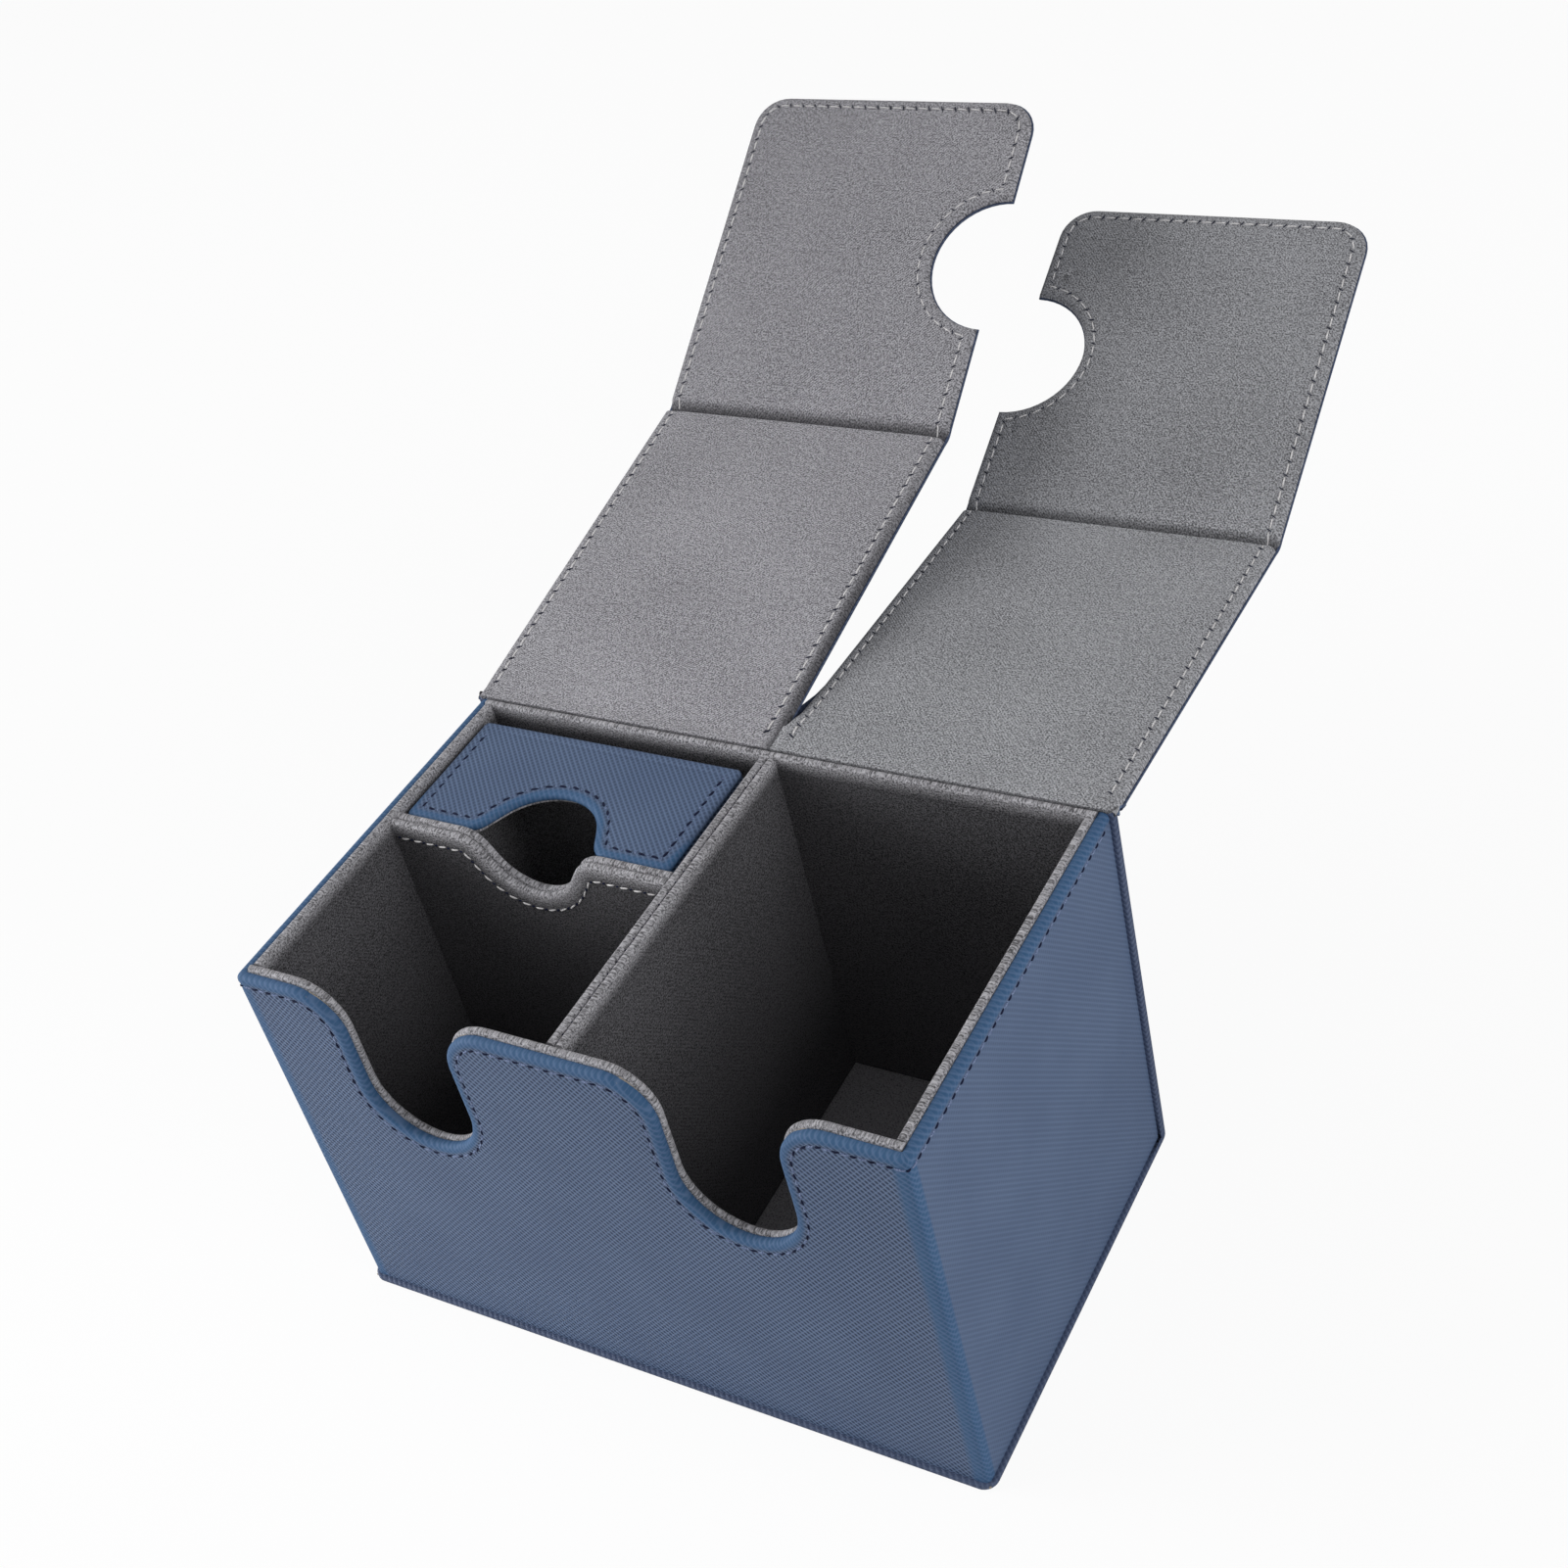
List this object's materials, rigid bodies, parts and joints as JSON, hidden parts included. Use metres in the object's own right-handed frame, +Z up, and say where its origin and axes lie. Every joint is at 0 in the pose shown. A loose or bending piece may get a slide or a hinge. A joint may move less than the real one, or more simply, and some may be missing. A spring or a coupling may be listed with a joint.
{
  "type": "card box",
  "caption": "Twin deck box in leather-covered board, with folding lids that end in front flaps, a split bay and a lift-out drawer with a thumb notch.",
  "frame": {"origin": "centre of the case walls, on the table", "axes": "+X to the right of someone facing the front, +Y to the back, +Z up"},
  "size_m": [0.1586, 0.2757, 0.1675],
  "materials": {
    "leather": "satin",
    "board": "matte",
    "suede_board": "matte",
    "suede": "matte",
    "steel": "satin",
    "magnet": "satin"
  },
  "bodies": {
    "case": {"base_cover": "leather", "base_core": "board", "back_cover": "leather", "back_core": "board", "wall_cover": "leather", "left_wall_core": "board", "front_wall_core": "board", "right_wall_core": "board", "left_lining": "suede_board", "front_lining": "suede_board", "right_lining": "suede_board", "back_lining": "suede_board", "left_floor": "suede", "right_floor": "suede", "divider_left_ply": "suede_board", "divider_right_ply": "suede_board", "cross_divider_front_ply": "suede_board", "cross_divider_rear_ply": "suede_board", "left_catch_plate": "steel", "right_catch_plate": "steel", "hinge_fold": "leather"},
    "left_lid": {"left_lid_cover": "leather", "left_lid_core": "board", "left_lid_lining": "suede", "left_crease_fold": "leather"},
    "left_flap": {"left_flap_cover": "leather", "left_flap_core": "board", "left_flap_lining": "suede", "left_flap_magnet": "magnet"},
    "right_lid": {"right_lid_cover": "leather", "right_lid_core": "board", "right_lid_lining": "suede", "right_crease_fold": "leather"},
    "right_flap": {"right_flap_cover": "leather", "right_flap_core": "board", "right_flap_lining": "suede", "right_flap_magnet": "magnet"},
    "drawer": {"drawer_top": "leather", "drawer_bottom": "leather", "drawer_left_side": "leather", "drawer_right_side": "leather", "drawer_back": "leather", "drawer_top_lining": "suede", "drawer_bottom_lining": "suede", "drawer_left_lining": "suede", "drawer_right_lining": "suede", "drawer_back_lining": "suede"}
  },
  "joints": [
    {"name": "left_lid_hinge", "type": "hinge", "parent": "case", "child": "left_lid", "pos_m": [0, 0.0478, 0.0996], "axis": [-1, 0, 0], "range_deg": [-169.4, 20.6]},
    {"name": "right_lid_hinge", "type": "hinge", "parent": "case", "child": "right_lid", "pos_m": [0, 0.0478, 0.0996], "axis": [-1, 0, 0], "range_deg": [-182.3, 7.7]},
    {"name": "left_flap_fold", "type": "hinge", "parent": "left_lid", "child": "left_flap", "pos_m": [0, 0.14493, 0.11554], "axis": [-1, 0, 0], "range_deg": [-66.2, 23.8]},
    {"name": "right_flap_fold", "type": "hinge", "parent": "right_lid", "child": "right_flap", "pos_m": [0, 0.14603, 0.09345], "axis": [-1, 0, 0], "range_deg": [-61.4, 28.6]},
    {"name": "drawer_slide", "type": "slide", "parent": "case", "child": "drawer", "axis": [0, 0, 1], "range_m": [0, 0.1]}
  ]
}
